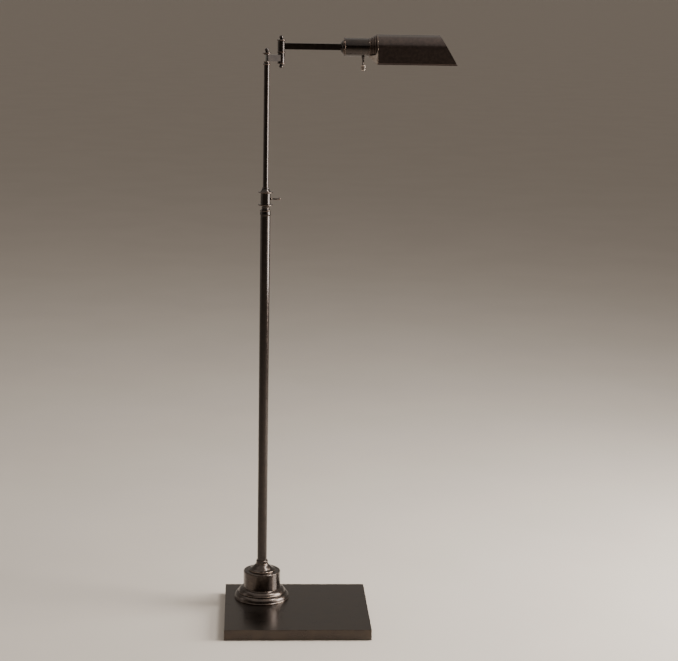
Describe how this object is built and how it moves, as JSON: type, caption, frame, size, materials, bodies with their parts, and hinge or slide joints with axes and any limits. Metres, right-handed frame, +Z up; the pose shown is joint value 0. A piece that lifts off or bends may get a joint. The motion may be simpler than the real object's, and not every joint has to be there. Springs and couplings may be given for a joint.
{
  "type": "pharmacy floor lamp",
  "caption": "Reading floor lamp: weighted plate base, telescopic mast with clamp, double swivel, flat arm and a tilting half-round metal shade with a rotary switch.",
  "frame": {"origin": "on the floor, under the mast's axis, on the felt's lower face", "axes": "+Z up the mast, +X from the mast along the arm towards the shade, +Y towards the plate's back edge"},
  "size_m": [0.5015, 0.2996, 1.315],
  "materials": {
    "bronze": "oil rubbed bronze plate over brass, gloss, warm worn edges",
    "bronze_satin": "oil rubbed bronze plate over brass sheet, satin",
    "rubbed_bronze": "bronze plate rubbed back to the warm metal",
    "plate_bronze": "bronze plated steel, satin, gently mottled",
    "cast_ballast": "as cast, black",
    "felt": "black wool felt",
    "board": "hardboard",
    "zinc_steel": "zinc plated steel",
    "brass": "plain brass",
    "insulation": "flexible insulation, matte",
    "fibre": "fibre washer",
    "porcelain": "glazed white",
    "bulb_metal": "drawn, bright",
    "bulb_glass": "frosted"
  },
  "bodies": {
    "base": {"felt_pad": "felt", "bottom_board": "board", "base_cover": "plate_bronze", "ballast_plate": "cast_ballast", "foot_flange": "bronze", "foot_drum": "bronze", "foot_cap": "bronze", "foot_collar": "bronze", "base_stud": "zinc_steel", "base_washer": "zinc_steel", "base_nut": "zinc_steel", "tube_bush": "brass", "cord_gland": "insulation", "supply_lead": "insulation", "lower_tube": "bronze", "tube_ferrule": "bronze", "clamp_collar": "bronze", "clamp_bush": "brass", "clamp_cap": "bronze", "clamp_pad": "brass"},
    "clamp_screw": {"thumb_screw": "bronze"},
    "mast": {"upper_tube": "bronze", "mast_guide": "brass", "mast_head": "bronze", "mast_pivot": "zinc_steel", "pivot_washer": "fibre", "mast_top_ring": "bronze", "mast_finial": "bronze"},
    "link": {"link_bar": "bronze", "link_barrel": "bronze", "link_base_ring": "bronze", "link_base_finial": "bronze", "link_mid_ring": "bronze", "link_top_ring": "bronze", "link_top_finial": "bronze", "link_pivot": "zinc_steel"},
    "arm": {"arm_barrel": "bronze", "arm_bar": "bronze", "arm_cone": "bronze", "swivel_nipple": "zinc_steel", "swivel_washer": "zinc_steel", "swivel_nut": "zinc_steel", "arm_lead": "insulation"},
    "head": {"housing_ring": "bronze", "socket_housing": "bronze", "housing_band": "bronze", "shade_gallery": "bronze_satin", "shade": "bronze_satin", "shade_end": "bronze_satin", "shade_skirt": "bronze_satin", "shade_rim": "rubbed_bronze", "gallery_screws": "zinc_steel", "lamp_holder": "porcelain", "holder_shell": "brass", "holder_contact": "brass", "bulb_cap": "bulb_metal", "bulb_glass": "bulb_glass", "switch_bush": "bronze"},
    "switch_key": {"switch_stem": "bronze", "switch_knob": "rubbed_bronze"}
  },
  "joints": [
    {"name": "mast_slide", "type": "slide", "parent": "base", "child": "mast", "axis": [0, 0, 1], "range_m": [-0.26, 0.095]},
    {"name": "clamp_screw_turn", "type": "hinge", "parent": "base", "child": "clamp_screw", "pos_m": [0, 0, 0.9516], "axis": [1, 0, 0], "range_deg": [-270, 45]},
    {"name": "link_swivel", "type": "hinge", "parent": "mast", "child": "link", "pos_m": [0, 0, 1.26], "axis": [0, 0, 1], "range_deg": [-165, 165]},
    {"name": "arm_swivel", "type": "hinge", "parent": "link", "child": "arm", "pos_m": [0.03154, 0.01471, 1.2857], "axis": [0, 0, 1], "range_deg": [-130, 180]},
    {"name": "head_turn", "type": "hinge", "parent": "arm", "child": "head", "pos_m": [0.1685, 0.01471, 1.2857], "axis": [1, 0, 0], "range_deg": [-150, 150]},
    {"name": "switch_turn", "type": "hinge", "parent": "head", "child": "switch_key", "pos_m": [0.2116, 0.01471, 1.2487], "axis": [0, 0, 1], "continuous": true}
  ]
}
